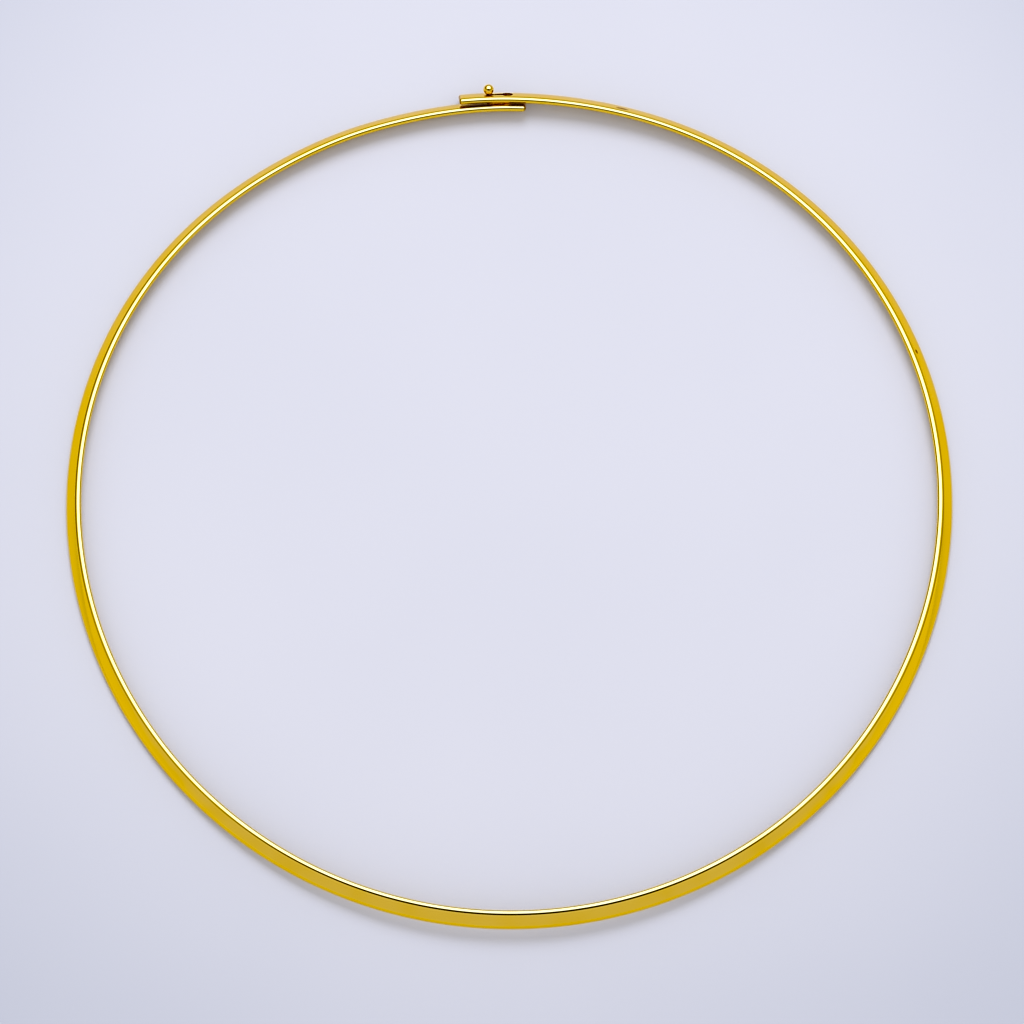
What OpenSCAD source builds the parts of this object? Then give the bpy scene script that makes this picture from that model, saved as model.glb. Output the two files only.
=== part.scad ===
// Collar necklace: a springy hoop of flat gold strip whose ends overlap at the back, where a ball
// on a post locks in a keyhole. It lies on a surface, front edge a little raised.
// Millimetres, +Z up, clasp at +Y, front of the collar at -Y.

/* [Show] */

// Piece to draw

/* [Strip] */

// Radius of the loop to the middle of the strip
loop_r = 68.9; // [55:0.1:80]

// Width of the strip, over its rounded edges
strip_w = 3.2; // [2.4:0.1:5]

// Thickness of the strip
strip_t = 1.1; // [0.8:0.05:1.4]

// Width of each rounded edge, from the flat face to its tip
shoulder = 0.75; // [0.55:0.05:0.9]

// Lean of the strip from upright, lower edge outward, at the sides
lean = 43.5; // [20:0.5:60]

// How much more the front leans, and how much less the back does
lean_change = 4; // [0:0.5:6]

/* [Front] */

// How far the front is raised off the surface
front_rise = 1.6; // [0:0.1:4]

// Angle either side of the front over which it is raised
front_reach = 64; // [30:2:75]

/* [Ends] */

// Place of the inner end round the loop, in degrees from +X
inner_end = 87.8; // [86:0.1:91]

// Place of the outer end, one turn further on
outer_end = 457; // [455:0.1:458]

// Rounding of the two cut ends
end_round = 0.45; // [0.2:0.05:0.5]

/* [Clasp] */

// Place of the stud round the loop
stud_at = 92.9; // [92.4:0.1:93.5]

// Diameter of the ball
ball_d = 1.7; // [1.2:0.1:2]

// Diameter of the post
post_d = 0.7; // [0.5:0.05:0.8]

// Clearance between the ball and the outer end
ball_gap = 0.03; // [0.03:0.01:0.2]

// Diameter of the round part of the keyhole
keyhole_d = 1.8; // [1.75:0.05:2.1]

// Travel of the post from the round part to the end of the slot
slot_travel = 3.0; // [2.2:0.1:3.6]

// Clearance round the post in the slot, each side
slot_gap = 0.08; // [0.05:0.01:0.12]

// Clearance round the post where it is riveted in
rivet_gap = 0.03; // [0.02:0.01:0.05]

/* [Hidden] */

$fn = 64;
gold = [0.85, 0.68, 0.22];
pale_gold = [0.90, 0.76, 0.36];

edge_r = strip_t / 2;
flat_half = strip_w / 2 - shoulder;

// Steps of the sweep: degrees between rings, segments round each edge and at each rounded end
ring_step = 2;
edge_steps = 6;
end_steps = 4;

// The hand-bent line of the loop: how far it strays from the round, and how far it lifts so that
// the outer end passes over the inner one
ANGLE = 0;
STRAY = 1;
LIFT = 2;
line = [
    [88, -2.07, 0],
    [97, -2.07, 0],
    [105, -2.03, 0],
    [113, -1.74, 0],
    [121, -1.47, 0],
    [130, -1.02, 0],
    [140, -0.49, 0],
    [160, 0.10, 0],
    [185, 0.11, 0],
    [215, -0.10, 0],
    [245, 0.15, 0],
    [270, 0.35, 0],
    [295, 0.20, 0],
    [325, -0.18, 0],
    [355, -0.15, 0],
    [380, 0.19, 0],
    [400, 0.19, 0.01],
    [415, -0.04, 0.09],
    [430, -0.52, 0.32],
    [442, -0.85, 0.53],
    [457, -0.73, 0.70],
];
last = len(line) - 1;

// Smooth curve through one column of the table
function row_before(a, i = 0) = i >= last - 1 || a < line[i + 1][ANGLE] ? i : row_before(a, i + 1);

function grade(col, i) =
    let (lo = max(i - 1, 0), hi = min(i + 1, last))
    (line[hi][col] - line[lo][col]) / (line[hi][ANGLE] - line[lo][ANGLE]);

function along(col, a) =
    let (
        i = row_before(a),
        h = line[i + 1][ANGLE] - line[i][ANGLE],
        t = (a - line[i][ANGLE]) / h,
        t2 = t * t,
        t3 = t2 * t
    )
    line[i][col] * (2 * t3 - 3 * t2 + 1)
    + grade(col, i) * h * (t3 - 2 * t2 + t)
    + line[i + 1][col] * (3 * t2 - 2 * t3)
    + grade(col, i + 1) * h * (t3 - t2);

// Where the middle of the strip runs and how it leans, at an angle round the loop
function lean_at(a) = lean - lean_change * sin(a);

function from_front(a) = abs(a - 270);

function rise_at(a) =
    from_front(a) < front_reach ? front_rise * (1 + cos(180 * from_front(a) / front_reach)) / 2 : 0;

function radius_at(a) = loop_r + along(STRAY, a);

// From the middle of the strip down to the lowest point of its leaning section
function drop_at(a) =
    flat_half * cos(lean_at(a)) + norm([edge_r * sin(lean_at(a)), shoulder * cos(lean_at(a))]);

function height_at(a) = drop_at(a) + rise_at(a) + along(LIFT, a);

// A point of the strip: out along the normal of its face, up along its width
function strip_point(a, out, up) =
    let (
        r = radius_at(a) + out * cos(lean_at(a)) - up * sin(lean_at(a)),
        z = height_at(a) + out * sin(lean_at(a)) + up * cos(lean_at(a))
    )
    [r * cos(a), r * sin(a), z];

// One ring of the sweep: a flat strip with softly rounded edges, cut in all round by inset
function ring(a, inset) = [
    for (side = [1, -1], j = [0 : edge_steps])
        strip_point(
            a,
            -side * (edge_r - inset) * cos(180 * j / edge_steps),
            side * (flat_half + (shoulder - inset) * sin(180 * j / edge_steps))
        ),
];

// Rings of a rounded end, from the cut face inward: angle round the loop, inset
function end_rings(end, way) = [
    for (j = [0 : end_steps])
        let (b = 90 * j / end_steps)
        [end + way * (end_round * (1 - cos(b))) * 180 / (PI * loop_r), end_round * (1 - sin(b))],
];

function backward(list) = [for (i = [len(list) - 1 : -1 : 0]) list[i]];

stations = concat(
    end_rings(inner_end, 1),
    [for (a = [ceil(inner_end) + 1 : ring_step : floor(outer_end) - 1]) [a, 0]],
    backward(end_rings(outer_end, -1))
);
rings = [for (s = stations) ring(s[0], s[1])];
sides = len(rings[0]);
points = [for (r = rings, p = r) p];

// Middle of the part's box and its lowest point, so that its origin is the middle of its footprint
arm_apart = radius_at(stud_at + 360) - radius_at(stud_at);
arm_above = height_at(stud_at + 360) - height_at(stud_at);
arms_between = arm_apart * cos(lean_at(stud_at)) + arm_above * sin(lean_at(stud_at));
arms_across = arm_above * cos(lean_at(stud_at)) - arm_apart * sin(lean_at(stud_at));
ball_out = arms_between + edge_r + ball_gap + ball_d / 2;
ball_at = strip_point(stud_at, ball_out, arms_across);
xs = [for (p = points) p[0]];
ys = concat([for (p = points) p[1]], [ball_at[1] + ball_d / 2]);
zs = [for (p = points) p[2]];
middle = [(min(xs) + max(xs)) / 2, (min(ys) + max(ys)) / 2, min(zs)];

// Puts what it holds on the strip at an angle round the loop: Z out of the face, Y along the strip
module on_strip(a) {
    rotate([0, 0, a])
        translate([radius_at(a), 0, height_at(a)])
            rotate([0, 90 - lean_at(a), 0])
                children();
}

// The stud's foot in the inner end, below its middle and in line with the middle of the outer end
module at_stud() {
    on_strip(stud_at)
        translate([-arms_across, 0, 0])
            children();
}

// The bent strip, swept round the loop
module strip() {
    count = len(rings);
    skin = [
        for (i = [0 : count - 2], j = [0 : sides - 1])
            let (
                k = (j + 1) % sides,
                a = i * sides + j,
                b = i * sides + k,
                c = (i + 1) * sides + k,
                d = (i + 1) * sides + j
            )
            each [[a, b, c], [a, c, d]],
    ];
    first_end = [for (j = [sides - 1 : -1 : 0]) j];
    last_end = [for (j = [0 : sides - 1]) (count - 1) * sides + j];
    polyhedron(points = points, faces = concat([first_end, last_end], skin));
}

// The keyhole through the outer end: a round hole, and a slot that the post slides along
module keyhole() {
    slot_w = post_d + 2 * slot_gap;
    below = edge_r + 0.25;
    deep = below + edge_r + 1;
    on_strip(stud_at + 360) {
        translate([0, 0, -below])
            cylinder(d = slot_w, h = deep);
        translate([-slot_w / 2, -slot_travel, -below])
            cube([slot_w, slot_travel, deep]);
        translate([0, -slot_travel, -below])
            cylinder(d = keyhole_d, h = deep);
    }
}

// The drilled hole in the inner end, which carries the post
module rivet_hole() {
    at_stud()
        translate([0, 0, -edge_r - 1])
            cylinder(d = post_d + 2 * rivet_gap, h = strip_t + 1.2);
}

module hoop() {
    color(gold)
        translate(-middle)
            difference() {
                strip();
                keyhole();
                rivet_hole();
            }
}

// Ball and post in one piece, the post filed flush inside the inner end
module ball_stud() {
    color(pale_gold)
        translate(-middle)
            at_stud()
                union() {
                    translate([0, 0, -edge_r])
                        cylinder(d = post_d, h = edge_r + ball_out);
                    translate([0, 0, ball_out])
                        sphere(d = ball_d);
                }
}

hoop();
ball_stud();
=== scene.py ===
"""Collar necklace of polished gold strip, dressed round its CAD frame: the bent hoop with its keyhole,
the ball stud, and the paper, light and camera of the picture."""

import math

import bmesh
import bpy
import numpy as np
from bpy.props import FloatProperty, FloatVectorProperty, PointerProperty
from mathutils import Euler, Matrix, Vector


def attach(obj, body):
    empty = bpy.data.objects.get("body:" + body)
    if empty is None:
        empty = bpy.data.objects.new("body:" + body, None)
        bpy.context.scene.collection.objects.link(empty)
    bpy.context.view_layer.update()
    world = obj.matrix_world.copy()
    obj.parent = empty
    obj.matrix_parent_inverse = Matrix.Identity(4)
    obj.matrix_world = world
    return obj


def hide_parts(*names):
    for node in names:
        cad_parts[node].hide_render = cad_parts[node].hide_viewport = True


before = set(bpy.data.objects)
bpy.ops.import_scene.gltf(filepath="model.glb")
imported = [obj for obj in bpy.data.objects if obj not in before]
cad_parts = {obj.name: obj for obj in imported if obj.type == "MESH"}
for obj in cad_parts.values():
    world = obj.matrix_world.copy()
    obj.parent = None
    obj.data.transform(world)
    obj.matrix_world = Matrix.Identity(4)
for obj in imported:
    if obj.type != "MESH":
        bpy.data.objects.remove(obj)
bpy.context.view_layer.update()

bl_info = {
    "name": "Gold collar necklace",
    "version": (1, 0, 0),
    "blender": (4, 5, 0),
    "location": "3D View > Sidebar > Collar",
    "description": "Bends the strip of a gold collar, sets its ball stud and lays it on paper",
    "category": "Object",
}

MM = 0.001

# The hand-bent line of the loop: place round it in degrees, and in millimetres how far it strays
# from the round and how far it lifts, so that the outer end passes over the inner one
LINE = (
    (88, -2.07, 0.00),
    (97, -2.07, 0.00),
    (105, -2.03, 0.00),
    (113, -1.74, 0.00),
    (121, -1.47, 0.00),
    (130, -1.02, 0.00),
    (140, -0.49, 0.00),
    (160, 0.10, 0.00),
    (185, 0.11, 0.00),
    (215, -0.10, 0.00),
    (245, 0.15, 0.00),
    (270, 0.35, 0.00),
    (295, 0.20, 0.00),
    (325, -0.18, 0.00),
    (355, -0.15, 0.00),
    (380, 0.19, 0.00),
    (400, 0.19, 0.01),
    (415, -0.04, 0.09),
    (430, -0.52, 0.32),
    (442, -0.85, 0.53),
    (457, -0.73, 0.70),
)

# Dark marks on the outer face, the last one a painted shadow round the foot of the ball: place round
# the loop in degrees, and in metres how far up the strip, half length and half width; then how dark
MARKS_AND_SHADOW = (
    ((380.4, 0.4 * MM, 0.40 * MM, 0.27 * MM), 1.0),
    ((434.6, 0.3 * MM, 1.1 * MM, 0.42 * MM), 0.85),
    # Painted shadow round the foot of the ball
    ((452.9, 0.3 * MM, 0.85 * MM, 0.65 * MM), 0.85),
)

# Dips in the outer face: place round the loop in degrees, and in metres how far up the strip and how
# far off the face the middle of the cutter is, and its half sizes up, along and out
DIPS = {
    "pit": (380.4, 0.4 * MM, 0.05 * MM, (0.17 * MM, 0.26 * MM, 0.18 * MM)),
    "dent": (434.8, 0.3 * MM, 0.015 * MM, (0.1 * MM, 0.7 * MM, 0.03 * MM)),
}

# Middle of the CAD part's footprint and its lowest point, in the line's own coordinates
MIDDLE = (-0.1107 * MM, -0.2711 * MM, 0.0001 * MM)

# Where the camera looks, in the same coordinates
AIM = (0.304 * MM, -2.72 * MM, 1.5 * MM)

# Steps of the meshes: round each edge of the strip, across each face, round each cut end and along
# the loop; round the rims, the slot's end and the holes; up the post, over the ball and round both
EDGE_STEPS = 22
FACE_STEPS = 8
END_STEPS = 8
LOOP_STEPS = 619
RIM_STEPS = 5
SLOT_STEPS = 16
HOLE_STEPS = 40
POST_STEPS = 4
BALL_STEPS = 25
TURN_STEPS = 56

# Angles between faces, in degrees, from which an edge is left sharp
STRIP_SHARP = 28
STUD_SHARP = 40

# How far past an end, in radians, a point still belongs to it, a miss larger than any real one, and
# a radius so small that it is on the axis
END_SLACK = 0.02
FAR = 1.0
ON_AXIS = 1e-9

# How dark the painted shade in the clasp is on the faces that look at each other, how much lighter
# it is painted near the post, and how dark the painted shade is in the keyhole and on the two cut ends
FACE_SHADE = 0.85
POST_LIGHTENING = 0.7
HOLE_SHADE = 0.7
CAP_SHADE = 0.7

# Where it fades along those faces: on the inner end between these distances before the outer end's
# tip, and on the outer end between these distances past the inner end's tip
UNDER_FADE = (2.2 * MM, 0.3 * MM)
OVER_FADE = (-0.2 * MM, 1.2 * MM)

# How far the lighter paint near the post reaches, how far the keyhole's painted shade reaches past the
# middle of its round hole, past the stud and to either side, and between which depths the painted
# shade of each cut end fades
POST_LIGHTENING_REACH = 3.6 * MM
HOLE_BEFORE = 1.2 * MM
HOLE_AFTER = 0.6 * MM
HOLE_HALF = 1.15 * MM
INNER_CAP = (0.22 * MM, 0.45 * MM)
OUTER_CAP = (0.36 * MM, 0.12 * MM)

# Grain of the finishes, per metre: hairlines along and across the strip, warm patches, specks, and
# the tooth and the clouds of the paper
HAIR_GRAIN = (140, 9000, 9000)
PATCH_GRAIN = 130.0
SPECK_GRAIN = 2600.0
TOOTH_GRAIN = 900.0
CLOUD_GRAIN = 16.0

# The sheet of paper: half its width, how far it lies below the collar, the middle of its painted pool
# of light, and how much of its colour is left where that painted light has faded
PAPER_HALF = 2.5
PAPER_DROP = 0.015 * MM
POOL = (0, 0.02, 0)
FADED_SHARE = (0.765, 0.785, 0.815)

# Places in the room, as azimuth and elevation in degrees
WINDOW_AT = (80, 68)
OVERHEAD = (78, 68)
ZENITH = (0, 90)
FRONT = (270, 0)
BACK_LEFT = (148, 0)
LAMP_AT = (87, 53)

# How far from its middle the window has faded out and is full, in degrees
WINDOW_REACH = 46
WINDOW_CORE = 24

# Colours of the room in the gold: the wall at its foot and higher up, the ceiling and the window
WALL_FOOT = (1.0, 1.02, 1.16, 1)
WALL_TOP = (0.95, 1.0, 1.5, 1)
CEILING = (0.98, 0.985, 1.0, 1)
WINDOW_TINT = (0.53, 0.78, 2.2, 1)

# Colour of the plain room that lights the paper, colour and brightness of the one that the camera
# sees, and colour of the lamp
FILL_TINT = (1.03, 1.0, 0.955, 1)
BACKDROP = (0.86, 0.88, 0.92, 1)
BACKDROP_LEVEL = 0.8
LAMP_TINT = (0.955, 0.98, 1.05)

# The picture's colours are made richer up to this green, and less and less from there to white
RICH_UP_TO = 0.80

# The picture's blur in pixels: of its light, of its colour, and of the copy that sharpens it
LIGHT_BLUR = 1
COLOUR_BLUR = 2
SHARPEN_BLUR = 3
SHARPEN = 0.5
DISPLAY_GAMMA = 2.2


# Settings


class StripSettings(bpy.types.PropertyGroup):
    loop_radius: FloatProperty(
        name="Loop radius", description="Radius of the loop to the middle of the strip",
        default=68.9 * MM, unit="LENGTH",
    )
    width: FloatProperty(
        name="Width", description="Width of the strip over its rounded edges",
        default=3.2 * MM, unit="LENGTH",
    )
    thickness: FloatProperty(
        name="Thickness", description="Thickness of the strip",
        default=1.1 * MM, unit="LENGTH",
    )
    lean: FloatProperty(
        name="Lean", description="Lean of the strip from upright, lower edge outward",
        default=math.radians(43.5), subtype="ANGLE", unit="ROTATION",
    )
    lean_change: FloatProperty(
        name="Lean change", description="How much more the front leans, and how much less the back",
        default=math.radians(4), subtype="ANGLE", unit="ROTATION",
    )
    front_rise: FloatProperty(
        name="Front rise", description="How far the front is raised off the surface",
        default=1.6 * MM, unit="LENGTH",
    )
    front_reach: FloatProperty(
        name="Front reach", description="Angle either side of the front over which it is raised",
        default=math.radians(64), subtype="ANGLE", unit="ROTATION",
    )
    inner_end: FloatProperty(
        name="Inner end", description="Place of the inner end round the loop",
        default=math.radians(87.8), subtype="ANGLE", unit="ROTATION",
    )
    outer_end: FloatProperty(
        name="Outer end", description="Place of the outer end, one turn further on",
        default=math.radians(457), subtype="ANGLE", unit="ROTATION",
    )
    end_round: FloatProperty(
        name="End rounding", description="Rounding of the two cut ends",
        default=0.45 * MM, unit="LENGTH",
    )
    shoulder: FloatProperty(
        name="Shoulder", description="Width of each rounded edge, from the flat face to its tip",
        default=0.75 * MM, unit="LENGTH",
    )
    crown: FloatProperty(
        name="Crown", description="How far the middle of the polished face stands up",
        default=0.012 * MM, unit="LENGTH",
    )


class ClaspSettings(bpy.types.PropertyGroup):
    stud_at: FloatProperty(
        name="Stud place", description="Place of the stud round the loop",
        default=math.radians(92.9), subtype="ANGLE", unit="ROTATION",
    )
    ball: FloatProperty(
        name="Ball", description="Diameter of the ball", default=1.7 * MM, unit="LENGTH",
    )
    post: FloatProperty(
        name="Post", description="Diameter of the post", default=0.7 * MM, unit="LENGTH",
    )
    ball_gap: FloatProperty(
        name="Ball gap", description="Clearance between the ball and the outer end",
        default=0.03 * MM, unit="LENGTH",
    )
    keyhole: FloatProperty(
        name="Keyhole", description="Diameter of the round part of the keyhole",
        default=1.8 * MM, unit="LENGTH",
    )
    slot_travel: FloatProperty(
        name="Slot travel", description="Travel of the post along the slot",
        default=3.0 * MM, unit="LENGTH",
    )
    slot_gap: FloatProperty(
        name="Slot gap", description="Clearance round the post in the slot",
        default=0.08 * MM, unit="LENGTH",
    )
    rivet_gap: FloatProperty(
        name="Rivet gap", description="Clearance round the riveted end of the post",
        default=0.03 * MM, unit="LENGTH",
    )
    rim: FloatProperty(
        name="Rim rounding", description="Rounding of the rims of the keyhole and the rivet hole",
        default=0.07 * MM, unit="LENGTH",
    )


class FinishSettings(bpy.types.PropertyGroup):
    gold: FloatVectorProperty(
        name="Gold", description="Colour that the polished strip reflects",
        default=(0.96, 0.655, 0.145), subtype="COLOR", min=0, max=1,
    )
    deep_gold: FloatVectorProperty(
        name="Deep gold", description="Colour of the faint warmer patches in the strip",
        default=(0.955, 0.635, 0.125), subtype="COLOR", min=0, max=1,
    )
    stud_gold: FloatVectorProperty(
        name="Stud gold", description="Colour that the ball and its post reflect",
        default=(0.95, 0.63, 0.15), subtype="COLOR", min=0, max=1,
    )
    # Colour of the painted shade in the clasp, and of the small dark marks
    shade_and_marks: FloatVectorProperty(
        name="Film", description="Colour of the dark film in the clasp and in the small marks",
        default=(0.27, 0.11, 0.012), subtype="COLOR", min=0, max=1,
    )
    polish: FloatProperty(
        name="Polish", description="Roughness of the buffed metal", default=0.07, min=0, max=1,
    )


class StageSettings(bpy.types.PropertyGroup):
    paper: FloatVectorProperty(
        name="Paper", description="Colour of the sheet under the collar",
        default=(0.455, 0.463, 0.520), subtype="COLOR", min=0, max=1,
    )
    distance: FloatProperty(
        name="Camera distance", description="From the camera to the middle of the collar",
        default=0.8, unit="LENGTH",
    )
    elevation: FloatProperty(
        name="Camera elevation", description="Height of the camera above the horizon",
        default=math.radians(71.511), subtype="ANGLE", unit="ROTATION",
    )
    lens: FloatProperty(
        name="Lens", description="Focal length on a 36 mm wide frame", default=177.93, unit="CAMERA",
    )
    sky: FloatProperty(name="Sky", description="Brightness of the white overhead", default=1.0)
    fill: FloatProperty(
        name="Fill", description="Brightness of the room that lights the paper", default=1.13,
    )
    window: FloatProperty(
        name="Window", description="Extra brightness of the wide window behind", default=1.45,
    )
    wall: FloatProperty(name="Wall", description="Brightness of the low wall all round", default=0.76)
    lamp: FloatProperty(name="Lamp", description="Brightness of the soft box behind", default=7.55)
    lamp_away: FloatProperty(
        name="Lamp distance", description="From the collar to the soft box", default=1.4, unit="LENGTH",
    )
    lamp_half: FloatProperty(
        name="Lamp half size", description="Half the angle that the soft box takes up",
        default=math.radians(18), subtype="ANGLE", unit="ROTATION",
    )
    dim_from: FloatProperty(
        name="Dim from", description="Where the paper starts to darken, from its brightest place",
        default=0.06, unit="LENGTH",
    )
    dim_to: FloatProperty(
        name="Dim to", description="Where the paper is at its darkest", default=0.15, unit="LENGTH",
    )
    richness: FloatProperty(
        name="Richness", description="How much richer the picture's colours are made", default=1.24,
    )


SETTINGS = {
    "collar_strip": StripSettings,
    "collar_clasp": ClaspSettings,
    "collar_finish": FinishSettings,
    "collar_stage": StageSettings,
}


# Shader expressions


class Wire:
    """A socket in a node tree. Arithmetic on wires adds the Math nodes that work it out."""

    def __init__(self, tree, socket=None):
        self.tree = tree
        self.socket = socket

    def node(self, kind, settings=None, inputs=None, out=0):
        """Adds one node of a type, with its settings first and then its sockets' values or wires."""
        made = self.tree.nodes.new(kind)
        for name, value in (settings or {}).items():
            setattr(made, name, value)
        for name, value in (inputs or {}).items():
            if isinstance(value, Wire):
                self.tree.links.new(value.socket, made.inputs[name])
            else:
                made.inputs[name].default_value = value
        return Wire(self.tree, made.outputs[out] if len(made.outputs) else None)

    def math(self, operation, *values):
        return self.node("ShaderNodeMath", {"operation": operation}, dict(enumerate(values)))

    def __add__(self, other):
        return self.math("ADD", self, other)

    __radd__ = __add__

    def __sub__(self, other):
        return self.math("SUBTRACT", self, other)

    def __rsub__(self, other):
        return self.math("SUBTRACT", other, self)

    def __mul__(self, other):
        return self.math("MULTIPLY", self, other)

    __rmul__ = __mul__

    def __truediv__(self, other):
        return self.math("DIVIDE", self, other)

    def at_most(self, limit):
        return self.math("MINIMUM", self, limit)

    def ramp(self, low, high):
        """From 0 at low to 1 at high, with a soft start and end."""
        settings = {"interpolation_type": "SMOOTHSTEP"}
        limits = {"Value": self, "From Min": low, "From Max": high}
        return self.node("ShaderNodeMapRange", settings, limits)

    def dot(self, direction):
        """How far this vector points along a fixed direction."""
        settings = {"operation": "DOT_PRODUCT"}
        return self.node("ShaderNodeVectorMath", settings, {0: self, 1: direction}, out=1)


def mix_colours(factor, first, second):
    """The colour sockets of a Mix node share their names with its others, so they go by number."""
    return factor.node(
        "ShaderNodeMix", {"data_type": "RGBA"}, {0: factor, 6: first, 7: second}, out=2
    )


def rgba(colour):
    return (*colour, 1.0)


def new_material(name):
    material = bpy.data.materials.new(name)
    material.use_nodes = True
    material.node_tree.nodes.clear()
    return material, Wire(material.node_tree)


# Shape of the strip


def spline_column(column):
    """A smooth curve through one column of the line's table, as a function of the angle."""
    at = np.array([row[0] for row in LINE], float)
    value = np.array([row[column] for row in LINE], float) * MM
    step = np.diff(at)
    rise = np.diff(value) / step
    count = len(at)
    grid = np.eye(count)
    right = np.zeros(count)
    for i in range(1, count - 1):
        grid[i, i - 1:i + 2] = step[i - 1], 2 * (step[i - 1] + step[i]), step[i]
        right[i] = 6 * (rise[i] - rise[i - 1])
    bend = np.linalg.solve(grid, right)

    def curve(degrees):
        i = np.clip(np.searchsorted(at, degrees, side="right") - 1, 0, count - 2)
        h = step[i]
        before = at[i + 1] - degrees
        after = degrees - at[i]
        return (
            bend[i] * before ** 3 / (6 * h) + bend[i + 1] * after ** 3 / (6 * h)
            + (value[i] / h - bend[i] * h / 6) * before
            + (value[i + 1] / h - bend[i + 1] * h / 6) * after
        )

    return curve


STRAY = spline_column(1)
LIFT = spline_column(2)


class Strip:
    """Where the middle of the strip runs, and how a place on it maps to the loop."""

    def __init__(self, settings):
        self.set = settings
        self.edge = settings.thickness / 2
        self.flat = settings.width / 2 - settings.shoulder

    def lean(self, angle):
        return self.set.lean - self.set.lean_change * np.sin(angle)

    def radius(self, angle):
        return self.set.loop_radius + STRAY(np.degrees(angle))

    def height(self, angle):
        """Height of the middle, with the lower edge on the surface but for the rise and the lift."""
        away = np.minimum(np.abs(angle - math.radians(270)) / self.set.front_reach, 1)
        rise = self.set.front_rise * (1 + np.cos(math.pi * away)) / 2
        lean = self.lean(angle)
        bend = np.hypot(self.edge * np.sin(lean), self.set.shoulder * np.cos(lean))
        return self.flat * np.cos(lean) + bend + rise + LIFT(np.degrees(angle))

    def place(self, angle, out, up):
        """Points at angles round the loop, out along the face's normal and up along its width."""
        angle, out, up = np.broadcast_arrays(*(np.asarray(v, float) for v in (angle, out, up)))
        lean = self.lean(angle)
        r = self.radius(angle) + out * np.cos(lean) - up * np.sin(lean)
        z = self.height(angle) + out * np.sin(lean) + up * np.cos(lean)
        return np.stack([r * np.cos(angle), r * np.sin(angle), z], -1) - MIDDLE

    def unplace(self, points):
        """The nearest angle, out and up of points on the strip, telling the two ends apart."""
        raw = points + MIDDLE
        base = np.arctan2(raw[:, 1], raw[:, 0]) % (2 * math.pi)
        flat = np.hypot(raw[:, 0], raw[:, 1])
        best = None
        for turn in (0, 2 * math.pi):
            angle = base + turn
            after_start = angle > self.set.inner_end - END_SLACK
            inside = after_start & (angle < self.set.outer_end + END_SLACK)
            lean = self.lean(angle)
            dr = flat - self.radius(angle)
            dz = raw[:, 2] - self.height(angle)
            out = dr * np.cos(lean) + dz * np.sin(lean)
            up = -dr * np.sin(lean) + dz * np.cos(lean)
            miss = np.where(inside, np.abs(out), FAR)
            found = [angle, out, up, miss]
            if best is None:
                best = found
            else:
                better = miss < best[3]
                best = [np.where(better, new, old) for new, old in zip(found, best)]
        return best[0], best[1], best[2]

    def seat(self, angle):
        """Matrix to the strip at an angle: Z out of the face, Y along the strip, -X up its width."""
        middle = self.place(angle, 0, 0)
        z = self.place(angle, 1, 0) - middle
        x = -(self.place(angle, 0, 1) - middle)
        y = np.cross(z, x)
        seat = np.eye(4)
        seat[:3] = np.stack([x, y, z, middle], -1)
        return Matrix(seat.tolist())


def section(strip, inset):
    """The strip's outline, flat with softly rounded edges, as out and up from its middle."""
    bends = np.radians(np.linspace(0, 180, EDGE_STEPS + 1))
    flats = np.linspace(1, -1, FACE_STEPS + 1)[1:-1]
    half = strip.edge - inset
    deep = strip.set.shoulder - inset
    out, up = [], []
    for side in (1, -1):
        out += list(-side * half * np.cos(bends))
        up += list(side * (strip.flat + deep * np.sin(bends)))
        out += list(side * (half + strip.set.crown * (1 - flats ** 2)))
        up += list(side * strip.flat * flats)
    return np.array(out), np.array(up)


def strip_stations(strip):
    """Angles round the loop and how far the section is cut in there, for the rounded ends."""
    r = strip.set.end_round
    turn = np.radians(np.linspace(0, 90, END_STEPS + 1))
    inset = r * (1 - np.sin(turn))
    away = r * (1 - np.cos(turn)) / strip.set.loop_radius
    start = strip.set.inner_end
    end = strip.set.outer_end
    middle = np.linspace(start + away[-1], end - away[-1], LOOP_STEPS + 1)[1:-1]
    angles = np.concatenate([start + away, middle, (end - away)[::-1]])
    insets = np.concatenate([inset, np.zeros(len(middle)), inset[::-1]])
    return angles, insets


def strip_mesh(strip):
    angles, insets = strip_stations(strip)
    rings = []
    for angle, inset in zip(angles, insets):
        out, up = section(strip, inset)
        rings.append(strip.place(angle, out, up))
    sides = len(rings[0])
    count = len(rings)
    verts = np.concatenate(rings)
    faces = []
    for i in range(count - 1):
        for j in range(sides):
            k = (j + 1) % sides
            this, following = i * sides, (i + 1) * sides
            faces.append((this + j, this + k, following + k, following + j))
    faces.append(tuple(range(sides - 1, -1, -1)))
    faces.append(tuple(range((count - 1) * sides, count * sides)))
    mesh = bpy.data.meshes.new("bent_strip")
    mesh.from_pydata(verts.tolist(), [], faces)
    mesh.validate()
    return mesh


# Shape of the stud


def stud_seat(strip, clasp):
    """Matrix to the stud's foot in the inner end, in line with the middle of the outer end."""
    under = strip.seat(clasp.stud_at)
    over = strip.seat(clasp.stud_at + 2 * math.pi)
    across = (under.inverted() @ over.translation).x
    return under @ Matrix.Translation((across, 0, 0))


def stud_profile(strip, clasp):
    """Radius and height of the stud, up from its riveted foot: post, soldered neck and ball."""
    over = strip.seat(clasp.stud_at + 2 * math.pi).translation
    apart = (stud_seat(strip, clasp).inverted() @ over).z
    ball = clasp.ball / 2
    post = clasp.post / 2
    foot = -strip.edge
    middle = apart + strip.edge + clasp.ball_gap + ball
    neck = math.asin((post + 0.04 * MM) / ball)
    top = middle - ball * math.cos(neck) - 0.08 * MM
    profile = [(0, foot - 0.03 * MM), (post * 0.6, foot - 0.02 * MM)]
    profile += [(post * 0.93, foot + 0.02 * MM), (post, foot + 0.07 * MM)]
    profile += [(post, z) for z in np.linspace(0, top, POST_STEPS + 1)]
    for turn in np.linspace(neck, math.pi, BALL_STEPS + 1):
        profile.append((ball * math.sin(turn), middle - ball * math.cos(turn)))
    return profile


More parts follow.
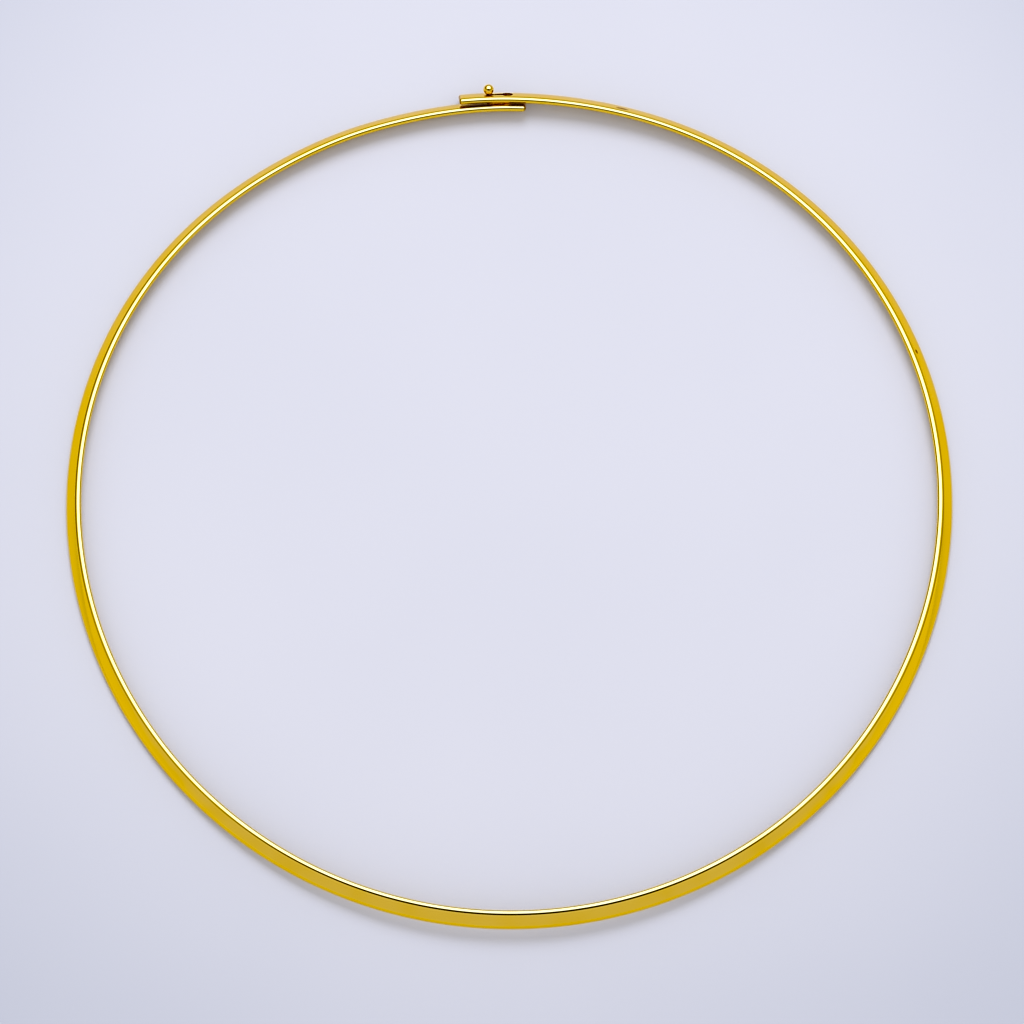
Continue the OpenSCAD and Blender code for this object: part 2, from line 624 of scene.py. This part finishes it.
def turned_mesh(name, profile, seat):
    """A profile turned round its axis and set on its seat. On the axis a ring is a single point."""
    bm = bmesh.new()
    turns = np.linspace(0, 2 * math.pi, TURN_STEPS, endpoint=False)
    rings = []
    for r, z in profile:
        if r < ON_AXIS:
            rings.append([bm.verts.new((0, 0, z))])
        else:
            rings.append([bm.verts.new((r * math.cos(t), r * math.sin(t), z)) for t in turns])
    for low, high in zip(rings, rings[1:]):
        for i in range(TURN_STEPS):
            j = (i + 1) % TURN_STEPS
            corners = [low[i % len(low)], low[j % len(low)], high[j % len(high)], high[i % len(high)]]
            bm.faces.new(list(dict.fromkeys(corners)))
    bm.transform(seat)
    bmesh.ops.recalc_face_normals(bm, faces=bm.faces)
    mesh = bpy.data.meshes.new(name)
    bm.to_mesh(mesh)
    bm.free()
    return mesh


# Cutters for the keyhole, the rivet hole and the dips


def keyhole_outline(clasp, grow):
    """The keyhole seen along the post: a slot with a round end, running into the round hole."""
    narrow = clasp.post / 2 + clasp.slot_gap + grow
    wide = clasp.keyhole / 2 + grow
    meet = math.asin(narrow / wide)
    points = []
    for turn in np.linspace(0, math.pi, SLOT_STEPS + 1):
        points.append((narrow * math.cos(turn), narrow * math.sin(turn)))
    for turn in np.linspace(math.pi / 2 + meet, 5 * math.pi / 2 - meet, HOLE_STEPS + 1):
        points.append((wide * math.cos(turn), wide * math.sin(turn) - clasp.slot_travel))
    return points


def round_outline(radius):
    turns = np.linspace(0, 2 * math.pi, HOLE_STEPS, endpoint=False)
    return [(radius * math.cos(t), radius * math.sin(t)) for t in turns]


def through_cutter(name, outline, seat, edge, rim, above, below):
    """A closed cutter through the strip, whose outline flares by the rim's rounding at both faces."""
    turns = np.radians(np.linspace(0, 90, RIM_STEPS + 1))
    levels = [(-edge - below, rim)]
    levels += [(-edge + rim * (1 - math.cos(t)), rim * (1 - math.sin(t))) for t in turns]
    levels += [(edge - rim * (1 - math.cos(t)), rim * (1 - math.sin(t))) for t in reversed(turns)]
    levels += [(edge + above, rim)]
    bm = bmesh.new()
    rings = [[bm.verts.new((x, y, z)) for x, y in outline(grow)] for z, grow in levels]
    bm.faces.new(list(reversed(rings[0])))
    bm.faces.new(rings[-1])
    for lower, upper in zip(rings, rings[1:]):
        for i in range(len(lower)):
            j = (i + 1) % len(lower)
            bm.faces.new((lower[i], lower[j], upper[j], upper[i]))
    bm.transform(seat)
    bmesh.ops.recalc_face_normals(bm, faces=bm.faces)
    mesh = bpy.data.meshes.new(name)
    bm.to_mesh(mesh)
    bm.free()
    return bpy.data.objects.new(name, mesh)


def dip_cutter(name, strip):
    """An egg-shaped cutter that leaves a shallow dip where it reaches into the outer face."""
    at, up, off, half_sizes = DIPS[name]
    seat = strip.seat(math.radians(at)) @ Matrix.Translation((-up, 0, strip.edge + off))
    bm = bmesh.new()
    bmesh.ops.create_uvsphere(bm, u_segments=20, v_segments=12, radius=1)
    bm.transform(seat @ Matrix.Diagonal((*half_sizes, 1)))
    mesh = bpy.data.meshes.new(name)
    bm.to_mesh(mesh)
    bm.free()
    return bpy.data.objects.new(name, mesh)


def cut(piece, cutters):
    scene = bpy.context.scene
    for cutter in cutters:
        scene.collection.objects.link(cutter)
        modifier = piece.modifiers.new(cutter.name, "BOOLEAN")
        modifier.operation = "DIFFERENCE"
        modifier.solver = "EXACT"
        modifier.object = cutter
    bpy.context.view_layer.update()
    shown = piece.evaluated_get(bpy.context.evaluated_depsgraph_get())
    finished = bpy.data.meshes.new_from_object(shown)
    piece.modifiers.clear()
    piece.data = finished
    for cutter in cutters:
        old = cutter.data
        bpy.data.objects.remove(cutter)
        bpy.data.meshes.remove(old)


def smooth(mesh, limit):
    for polygon in mesh.polygons:
        polygon.use_smooth = True
    mesh.set_sharp_from_angle(angle=math.radians(limit))


def mark_places(mesh, strip):
    """Keeps where each point lies on the strip, along and across it in metres, for the finish."""
    count = len(mesh.vertices)
    points = np.empty(count * 3)
    mesh.vertices.foreach_get("co", points)
    points = points.reshape(-1, 3)
    angle, out, up = strip.unplace(points)
    kept = mesh.attributes.new("place", "FLOAT_VECTOR", "POINT")
    place = np.stack([angle * strip.set.loop_radius, up, out], -1)
    kept.data.foreach_set("vector", place.ravel())


def add_piece(name, mesh, material, slot, *nodes):
    piece = bpy.data.objects.new(name, mesh)
    bpy.context.scene.collection.objects.link(piece)
    mesh.materials.clear()
    mesh.materials.append(material)
    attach(piece, "root")
    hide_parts(*nodes)
    return piece


# Finishes


def part_of(place, part):
    return place.node("ShaderNodeSeparateXYZ", {}, {0: place}, out=part)


def band_of(value, low, high):
    """1 between two limits, with soft ends inside them."""
    soft = 0.2 * (high - low)
    return value.ramp(low, low + soft) * (1 - value.ramp(high - soft, high))


def mark_on(place, strip, mark):
    """1 inside a small oval on the outer face, a dark mark or the ball's painted shadow, from its place
    in degrees and its sizes.
    """
    at, up, half_long, half_wide = mark
    along = (part_of(place, 0) - math.radians(at) * strip.set.loop_radius) / half_long
    across = (part_of(place, 1) - up) / half_wide
    away = along * along + across * across
    face = band_of(part_of(place, 2), 0.2 * strip.edge, 1.4 * strip.edge)
    return (1 - away.ramp(0.5, 1.3)) * face


def shade_and_marks(place, strip, clasp):
    """How dark the surface is painted: painted shade between the two ends, in the keyhole and on the cut
    ends, and the small marks, one of them a painted shadow.
    """
    along = part_of(place, 0)
    up = part_of(place, 1)
    out = part_of(place, 2)
    r = strip.set.loop_radius
    edge = strip.edge
    start = strip.set.inner_end * r
    end = strip.set.outer_end * r
    turn = 2 * math.pi * r
    stud = clasp.stud_at * r
    # Painted shade on the faces of the two ends that look at each other, painted lighter near the post
    under = 1 - along.ramp(*(end - turn - far for far in UNDER_FADE))
    over = along.ramp(*(start + turn + far for far in OVER_FADE))
    faces = under * out.ramp(0.4 * edge, 0.95 * edge)
    faces = faces + over * (-1 * out).ramp(0.3 * edge, 0.9 * edge)
    lighter_near_post = band_of(along, stud - POST_LIGHTENING_REACH, stud)
    lighter_near_post = lighter_near_post + band_of(along, stud + turn - POST_LIGHTENING_REACH, stud + turn)
    # Painted shade in the keyhole
    low = stud + turn - clasp.slot_travel - HOLE_BEFORE
    hole = band_of(along, low, stud + turn + HOLE_AFTER) * band_of(out, -0.9 * edge, 0.9 * edge)
    hole = hole * band_of(up, -HOLE_HALF, HOLE_HALF)
    # Painted shade on the two cut ends
    caps = 1 - along.ramp(*(start + far for far in INNER_CAP))
    caps = caps + along.ramp(*(end - far for far in OUTER_CAP))
    darkening = faces * (FACE_SHADE - POST_LIGHTENING * lighter_near_post) + HOLE_SHADE * hole + CAP_SHADE * caps
    # Small dark marks on the outer face, and the painted shadow round the foot of the ball
    for mark, depth in MARKS_AND_SHADOW:
        darkening = darkening + depth * mark_on(place, strip, mark)
    return darkening.at_most(1.0)


def polished_gold(name, gold, finish, strip, clasp):
    """Buffed gold: faint warm patches, fine hairlines along the strip, tiny worn specks, painted shade
    in the clasp and small dark marks.
    """
    material, tree = new_material(name)
    place = tree.node("ShaderNodeAttribute", {"attribute_name": "place"}, out="Vector")
    along_hair = place.node(
        "ShaderNodeVectorMath", {"operation": "MULTIPLY"}, {0: place, 1: HAIR_GRAIN}
    )
    hair = tree.node("ShaderNodeTexNoise", {}, {"Vector": along_hair, "Scale": 1.0, "Detail": 3.0})
    patches = tree.node(
        "ShaderNodeTexNoise", {}, {"Vector": place, "Scale": PATCH_GRAIN, "Detail": 2.0}
    )
    specks = tree.node("ShaderNodeTexNoise", {}, {"Vector": place, "Scale": SPECK_GRAIN, "Detail": 2.0})
    warm = patches.ramp(0.38, 0.74)
    speck = specks.ramp(0.66, 0.76)
    # Painted shade in the clasp, the painted shadow under the ball and the small dark marks darken the
    # gold and roughen it
    darkening = shade_and_marks(place, strip, clasp)
    metal = mix_colours(warm, rgba(gold), rgba(finish.deep_gold))
    colour = mix_colours(darkening, metal, rgba(finish.shade_and_marks))
    roughness = finish.polish + 0.05 * hair.ramp(0.55, 0.8) + 0.06 * speck + 0.25 * darkening
    height = hair + 0.35 * patches - 0.4 * speck
    bump = tree.node(
        "ShaderNodeBump", {}, {"Height": height, "Strength": 0.35, "Distance": 1.2e-6}
    )
    shader = tree.node(
        "ShaderNodeBsdfPrincipled",
        {},
        {"Base Color": colour, "Metallic": 1.0, "Roughness": roughness, "Normal": bump},
    )
    tree.node("ShaderNodeOutputMaterial", {}, {"Surface": shader})
    return material


def laid_paper(stage):
    """Smooth heavy paper, a little darker away from the pool of light, with a faint tooth."""
    material, tree = new_material("smooth_paper")
    spot = tree.node("ShaderNodeTexCoord", out="Object")
    tooth = tree.node("ShaderNodeTexNoise", {}, {"Vector": spot, "Scale": TOOTH_GRAIN, "Detail": 4.0})
    clouds = tree.node("ShaderNodeTexNoise", {}, {"Vector": spot, "Scale": CLOUD_GRAIN, "Detail": 2.0})
    away = spot.node("ShaderNodeVectorMath", {"operation": "DISTANCE"}, {0: spot, 1: POOL}, out=1)
    # Painted falloff of the pool of light, with faint random clouds in the paper
    dim = 0.93 * away.ramp(stage.dim_from, stage.dim_to) + 0.07 * clouds.ramp(0.3, 0.7)
    pale = tuple(stage.paper)
    darkening = tuple(share * c for share, c in zip(FADED_SHARE, pale))
    shade = mix_colours(dim, rgba(pale), rgba(darkening))
    bump = tree.node("ShaderNodeBump", {}, {"Height": tooth, "Strength": 0.12, "Distance": 2e-5})
    shader = tree.node(
        "ShaderNodeBsdfPrincipled",
        {},
        {"Base Color": shade, "Roughness": 0.9, "Specular IOR Level": 0.1, "Normal": bump},
    )
    tree.node("ShaderNodeOutputMaterial", {}, {"Surface": shader})
    return material


# Operators


class COLLAR_OT_strip(bpy.types.Operator):
    """Bends the strip round the loop and cuts its keyhole, its rivet hole and its small marks"""

    bl_idname = "collar.bend_strip"
    bl_label = "Bend the strip"

    def execute(self, context):
        scene = context.scene
        strip = Strip(scene.collar_strip)
        clasp = scene.collar_clasp
        finish = scene.collar_finish
        gold = polished_gold("strip_gold", finish.gold, finish, strip, clasp)
        band = add_piece("bent_hoop", strip_mesh(strip), gold, "gold", "hoop")
        over = strip.seat(clasp.stud_at + 2 * math.pi)
        under = stud_seat(strip, clasp)
        hole = clasp.post / 2 + clasp.rivet_gap
        # The cutters reach well past the strip, but only part of the way to its other end
        free = 1 * MM
        close = 0.2 * MM
        cut(band, [
            through_cutter(
                "keyhole", lambda grow: keyhole_outline(clasp, grow), over, strip.edge, clasp.rim,
                above=free, below=close,
            ),
            through_cutter(
                "rivet_hole", lambda grow: round_outline(hole + grow), under, strip.edge, clasp.rim,
                above=close, below=free,
            ),
            *(dip_cutter(name, strip) for name in DIPS),
        ])
        band.data.materials.clear()
        band.data.materials.append(gold)
        smooth(band.data, STRIP_SHARP)
        mark_places(band.data, strip)
        return {"FINISHED"}


class COLLAR_OT_stud(bpy.types.Operator):
    """Turns the ball and its post, soldered at the neck and riveted through the inner end"""

    bl_idname = "collar.turn_stud"
    bl_label = "Turn the stud"

    def execute(self, context):
        scene = context.scene
        strip = Strip(scene.collar_strip)
        clasp = scene.collar_clasp
        finish = scene.collar_finish
        mesh = turned_mesh("turned_stud", stud_profile(strip, clasp), stud_seat(strip, clasp))
        smooth(mesh, STUD_SHARP)
        mark_places(mesh, strip)
        gold = polished_gold("stud_gold", finish.stud_gold, finish, strip, clasp)
        add_piece("turned_stud", mesh, gold, "stud_gold", "ball_stud")
        return {"FINISHED"}


class COLLAR_OT_stage(bpy.types.Operator):
    """Lays the paper, and sets up the white tent, the soft lamp and the camera"""

    bl_idname = "collar.set_stage"
    bl_label = "Set the stage"

    def execute(self, context):
        scene = context.scene
        stage = scene.collar_stage
        lay_paper(scene, stage)
        light_tent(scene, stage)
        soft_lamp(scene, stage)
        place_camera(scene, stage)
        grade(scene, stage)
        return {"FINISHED"}


def lay_paper(scene, stage):
    bm = bmesh.new()
    bmesh.ops.create_grid(bm, x_segments=24, y_segments=24, size=PAPER_HALF)
    mesh = bpy.data.meshes.new("paper")
    bm.to_mesh(mesh)
    bm.free()
    paper = bpy.data.objects.new("paper", mesh)
    paper.location.z = -PAPER_DROP
    scene.collection.objects.link(paper)
    mesh.materials.append(laid_paper(stage))


def toward(place):
    """Unit vector to a place in the room. Its azimuth runs from +X round to +Y, behind the collar."""
    a, e = (math.radians(degrees) for degrees in place)
    return (math.cos(a) * math.cos(e), math.sin(a) * math.cos(e), math.sin(e))


def cosine(degrees):
    return math.cos(math.radians(degrees))


def room_in_gold(way, stage):
    """Brightness and colour of the room that the gold mirrors, for a direction in it: a low wall all
    round, a dark gap above it that is wide and high in front, and a white ceiling with a window."""
    overhead = way.dot(toward(OVERHEAD))
    high = way.dot(toward(ZENITH))
    flat = high.math("SQRT", 1 - high * high)
    ahead = way.dot(toward(FRONT)) / flat
    back_left = way.dot(toward(BACK_LEFT)) / flat
    # Edges of the gap, as cosines of the angle from overhead. Both lie higher in front, the upper more
    gap_low = 0.15 + 0.23 * ahead.ramp(-0.3, 0.7)
    gap_high = 0.56 + 0.34 * ahead.ramp(-0.1, 0.8)
    past_low = (overhead - gap_low).ramp(-0.04, 0.04)
    past_high = (overhead - gap_high).ramp(-0.14, 0.08)
    # It takes away half of the light, nearly all of it in front and four fifths at the back left
    depth = 0.50 + 0.48 * ahead.ramp(0.42, 0.62) + 0.30 * back_left.ramp(0.85, 0.97)
    gap = past_low * (1 - past_high)
    # The wall is a little dimmer higher up, with a paler line along its top
    up_wall = high.ramp(0.05, 0.25)
    wall = stage.wall * (1 - 0.12 * up_wall) + 0.12 * (overhead - gap_low).ramp(-0.06, -0.04)
    window = way.dot(toward(WINDOW_AT)).ramp(cosine(WINDOW_REACH), cosine(WINDOW_CORE))
    ceiling = stage.sky * (0.65 + 0.35 * overhead.ramp(0.45, 0.9) + stage.window * window)
    level = (wall * (1 - past_low) + ceiling * past_low) * (1 - depth * gap)
    low_room = mix_colours(up_wall, WALL_FOOT, WALL_TOP)
    high_room = mix_colours(window, CEILING, WINDOW_TINT)
    return level, mix_colours(past_low, low_room, high_room)


def light_tent(scene, stage):
    """A pale tent: shaped where the gold mirrors it, and plain where it lights or is seen itself."""
    world = bpy.data.worlds.new("tent")
    world.use_nodes = True
    world.node_tree.nodes.clear()
    scene.world = world
    tree = Wire(world.node_tree)
    level, room = room_in_gold(tree.node("ShaderNodeTexCoord", out="Generated"), stage)
    seen = tree.node("ShaderNodeLightPath", out="Is Camera Ray")
    mirrored = tree.node("ShaderNodeLightPath", out="Is Glossy Ray")
    plain = mix_colours(seen, FILL_TINT, BACKDROP)
    plain_level = BACKDROP_LEVEL * seen + stage.fill * (1 - seen)
    colour = mix_colours(mirrored, plain, room)
    strength = level * mirrored + plain_level * (1 - mirrored)
    shader = tree.node("ShaderNodeBackground", {}, {"Color": colour, "Strength": strength})
    tree.node("ShaderNodeOutputWorld", {}, {"Surface": shader})


def soft_lamp(scene, stage):
    """A round soft box, behind the collar and high."""
    light = bpy.data.lights.new("soft_lamp", "AREA")
    light.shape = "DISK"
    light.size = 2 * stage.lamp_away * math.tan(stage.lamp_half)
    area = math.pi * (light.size / 2) ** 2
    light.energy = stage.lamp * math.pi * area
    light.color = LAMP_TINT
    lamp = bpy.data.objects.new("soft_lamp", light)
    lamp.location = Vector(toward(LAMP_AT)) * stage.lamp_away
    lamp.rotation_euler = (-lamp.location).to_track_quat("-Z", "Y").to_euler()
    lamp.visible_camera = False
    lamp.visible_glossy = False
    scene.collection.objects.link(lamp)


def place_camera(scene, stage):
    """Stands the camera in front of the collar at the picture's height, looking down on it."""
    lens = bpy.data.cameras.new("camera")
    lens.sensor_width = 36
    lens.lens = stage.lens
    lens.clip_start = 0.01
    camera = bpy.data.objects.new("camera", lens)
    aim = Vector(AIM) - Vector(MIDDLE)
    look = Vector((0, math.cos(stage.elevation), -math.sin(stage.elevation)))
    camera.location = aim - look * stage.distance
    camera.rotation_euler = Euler((math.pi / 2 - stage.elevation, 0, 0))
    scene.collection.objects.link(camera)
    scene.camera = camera


def grade(scene, stage):
    """Plain display colours, with the picture's richer colour in all but the brightest places."""
    scene.view_settings.view_transform = "Standard"
    scene.view_settings.look = "None"
    scene.view_settings.exposure = 0
    scene.view_settings.gamma = 1
    scene.use_nodes = True
    scene.node_tree.nodes.clear()
    tree = Wire(scene.node_tree)
    shown = clamped(tree.node("CompositorNodeRLayers"))
    green = tree.node("CompositorNodeSeparateColor", {}, {0: shown}, out=1)
    rich = tree.node(
        "CompositorNodeMapRange",
        {"use_clamp": True},
        {"Value": green, "From Min": RICH_UP_TO, "From Max": 1.0, "To Min": 1.0, "To Max": 0.0},
    )
    graded = tree.node(
        "CompositorNodeHueSat", {}, {"Image": shown, "Saturation": stage.richness, "Fac": rich}
    )
    tree.node("CompositorNodeComposite", {}, {"Image": smear_colour(graded)})


def clamped(image):
    """The image with its colours kept between black and white."""
    both = {0: 0.0, 1: image, 2: image}
    return image.node("CompositorNodeMixRGB", {"use_clamp": True}, both)


def blurred(image, size):
    settings = {"filter_type": "GAUSS", "size_x": size, "size_y": size}
    return image.node("CompositorNodeBlur", settings, {"Image": image})


def picture_math(operation, first, second):
    return first.node("CompositorNodeMath", {"operation": operation}, {0: first, 1: second})


def smear_colour(picture):
    """Blurs the light a little and sharpens it again, and spreads the colour further, as the
    picture's file does."""
    split = {"mode": "YCC", "ycc_mode": "JFIF"}
    shown = picture.node("CompositorNodeGamma", {}, {"Image": picture, "Gamma": 1 / DISPLAY_GAMMA})
    light = shown.node("CompositorNodeSeparateColor", split, {0: shown})
    blue, red = (Wire(light.tree, light.socket.node.outputs[i]) for i in (1, 2))
    soft = blurred(light, LIGHT_BLUR)
    detail = picture_math("SUBTRACT", soft, blurred(light, SHARPEN_BLUR))
    crisp = picture_math("ADD", soft, picture_math("MULTIPLY", detail, SHARPEN))
    joined = light.node(
        "CompositorNodeCombineColor",
        split,
        {0: crisp, 1: blurred(blue, COLOUR_BLUR), 2: blurred(red, COLOUR_BLUR)},
    )
    return joined.node("CompositorNodeGamma", {}, {"Image": clamped(joined), "Gamma": DISPLAY_GAMMA})


class COLLAR_PT_panel(bpy.types.Panel):
    """Sizes, colours and steps of the collar"""

    bl_idname = "COLLAR_PT_panel"
    bl_label = "Gold collar"
    bl_space_type = "VIEW_3D"
    bl_region_type = "UI"
    bl_category = "Collar"

    def draw(self, context):
        for name in SETTINGS:
            group = getattr(context.scene, name)
            box = self.layout.box()
            for key in group.__annotations__:
                box.prop(group, key)
        for step in STEPS:
            self.layout.operator(step.bl_idname)


STEPS = (COLLAR_OT_strip, COLLAR_OT_stud, COLLAR_OT_stage)


def register():
    for name, group in SETTINGS.items():
        bpy.utils.register_class(group)
        setattr(bpy.types.Scene, name, PointerProperty(type=group))
    for kind in (*STEPS, COLLAR_PT_panel):
        bpy.utils.register_class(kind)


def unregister():
    for kind in reversed((*STEPS, COLLAR_PT_panel)):
        bpy.utils.unregister_class(kind)
    for name, group in reversed(SETTINGS.items()):
        delattr(bpy.types.Scene, name)
        bpy.utils.unregister_class(group)


def main():
    register()
    bpy.ops.collar.bend_strip()
    bpy.ops.collar.turn_stud()
    bpy.ops.collar.set_stage()


if __name__ == "__main__":
    main()
